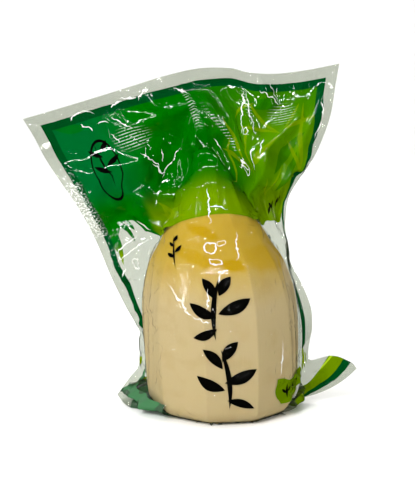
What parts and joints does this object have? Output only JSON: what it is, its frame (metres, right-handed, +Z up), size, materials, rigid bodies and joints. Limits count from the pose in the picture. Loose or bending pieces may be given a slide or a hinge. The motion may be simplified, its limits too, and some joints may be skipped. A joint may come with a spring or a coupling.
{
  "type": "vacuum-packed bamboo shoot",
  "caption": "Peeled winter bamboo shoot with knife-cut sides, sealed in a clear printed vacuum pouch that flares above its tip, standing on its cut base.",
  "frame": {"origin": "on the ground under the middle of the shoot's cut base", "axes": "+Z up from the base to the tip, +Y to the back, +X to the right seen from the printed front"},
  "size_m": [0.1843, 0.0892, 0.193],
  "materials": {
    "shoot_flesh": "moist peeled bamboo shoot, cream with yellow nodes, cut flat with a knife",
    "printed_film": "glossy clear laminate with a translucent leaf-green print",
    "clear_film": "glossy clear laminate"
  },
  "bodies": {
    "root": {"shoot": "shoot_flesh", "film_front": "printed_film", "film_back": "clear_film"}
  },
  "joints": []
}
